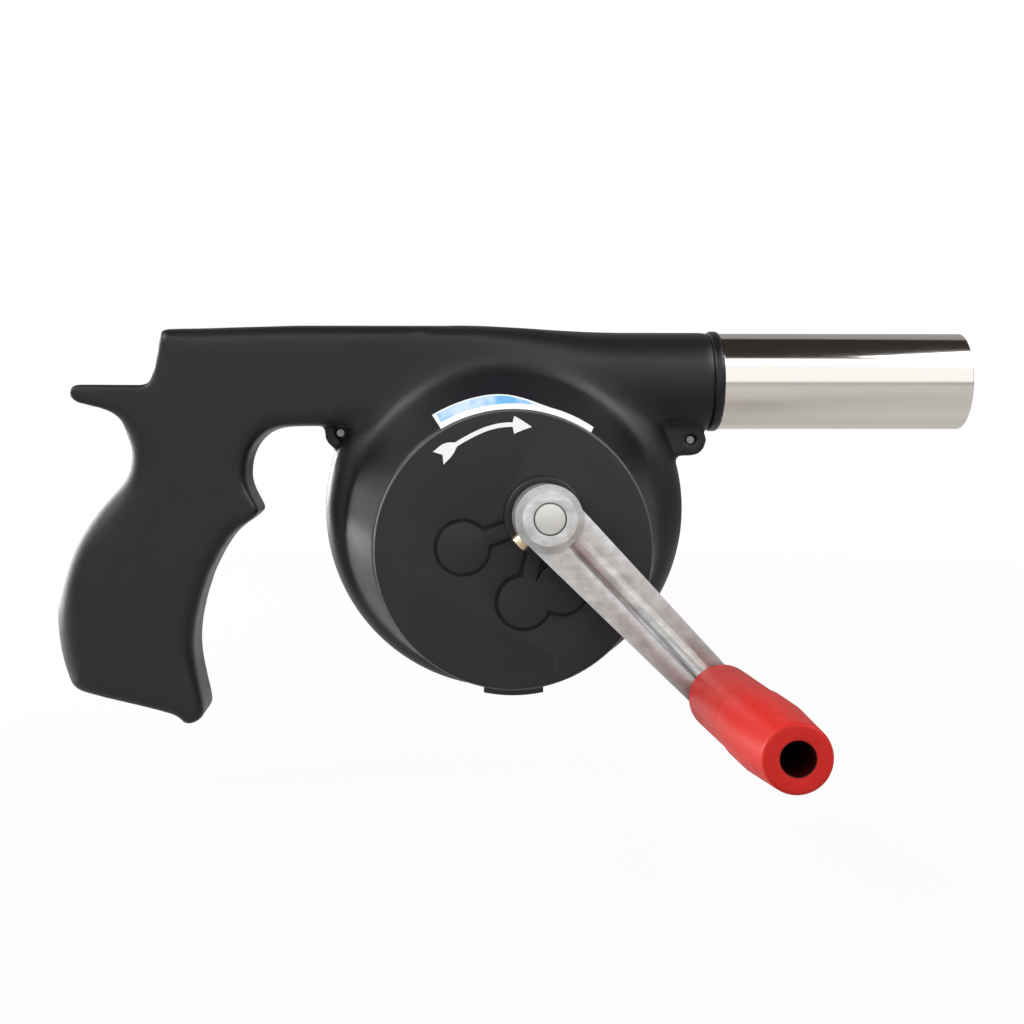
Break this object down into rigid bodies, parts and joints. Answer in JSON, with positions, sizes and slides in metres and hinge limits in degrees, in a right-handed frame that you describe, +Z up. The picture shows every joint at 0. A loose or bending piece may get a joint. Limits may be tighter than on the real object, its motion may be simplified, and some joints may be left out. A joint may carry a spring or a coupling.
{
  "type": "hand-cranked barbecue blower",
  "caption": "Pistol-grip blower for charcoal: a side crank drives a gear train and a radial fan, and the air leaves by a straight steel nozzle tube.",
  "frame": {"origin": "where the hand holds the grip, on the plane where the two shells meet", "axes": "+X out of the nozzle, +Z up, the crank is on the -Y side"},
  "size_m": [0.2401, 0.1433, 0.1037],
  "materials": {
    "housing_plastic": "satin black moulded plastic",
    "cover_plastic": "fine matt black moulded plastic",
    "tube_steel": "polished thin steel",
    "screw_steel": "zinc plated",
    "brass": "turned",
    "shaft_steel": "turned",
    "cast_arm": "die cast, dull",
    "knob_plastic": "satin red moulded plastic",
    "gear_plastic": "natural moulded plastic",
    "impeller_plastic": "moulded plastic",
    "print_ink": "printed label and arrow"
  },
  "bodies": {
    "housing": {"front_shell": "housing_plastic", "rear_shell": "housing_plastic", "gear_cover": "cover_plastic", "nozzle_ring": "housing_plastic", "nozzle_tube": "tube_steel", "housing_screws": "screw_steel", "cover_screws": "screw_steel", "crank_bush": "brass", "fan_bush_front": "brass", "fan_bush_rear": "brass", "first_gear_axle": "shaft_steel", "second_gear_axle": "shaft_steel", "third_gear_axle": "shaft_steel"},
    "crank": {"crank_arm": "cast_arm", "crank_shaft": "shaft_steel", "crank_gear": "gear_plastic", "crank_set_screw": "brass", "knob_pin": "shaft_steel"},
    "knob": {"crank_knob": "knob_plastic"},
    "first_gear": {"first_gear": "gear_plastic"},
    "second_gear": {"second_gear": "gear_plastic"},
    "third_gear": {"third_gear": "gear_plastic"},
    "rotor": {"fan_shaft": "shaft_steel", "fan_pinion": "gear_plastic", "impeller": "impeller_plastic"}
  },
  "joints": [
    {"name": "crank_turn", "type": "hinge", "parent": "housing", "child": "crank", "pos_m": [0.0978, -0.034, 0.0135], "axis": [0, 1, 0], "continuous": true},
    {"name": "knob_spin", "type": "hinge", "parent": "crank", "child": "knob", "pos_m": [0.13913, -0.08, -0.02944], "axis": [0, 1, 0], "continuous": true},
    {"name": "first_gear_turn", "type": "hinge", "parent": "housing", "child": "first_gear", "pos_m": [0.07772, -0.024, 0.00555], "axis": [0, 1, 0], "continuous": true},
    {"name": "second_gear_turn", "type": "hinge", "parent": "housing", "child": "second_gear", "pos_m": [0.09288, -0.021, -0.0081], "axis": [0, 1, 0], "continuous": true},
    {"name": "third_gear_turn", "type": "hinge", "parent": "housing", "child": "third_gear", "pos_m": [0.10231, -0.018, -0.00456], "axis": [0, 1, 0], "continuous": true},
    {"name": "rotor_turn", "type": "hinge", "parent": "housing", "child": "rotor", "pos_m": [0.0905, 0, 0.014], "axis": [0, 1, 0], "continuous": true}
  ],
  "couplings": [
    {"joint": "first_gear_turn", "follows": "crank_turn", "ratio": -3.5},
    {"joint": "second_gear_turn", "follows": "crank_turn", "ratio": 11.375},
    {"joint": "third_gear_turn", "follows": "crank_turn", "ratio": -11.375},
    {"joint": "rotor_turn", "follows": "crank_turn", "ratio": 40.76}
  ]
}
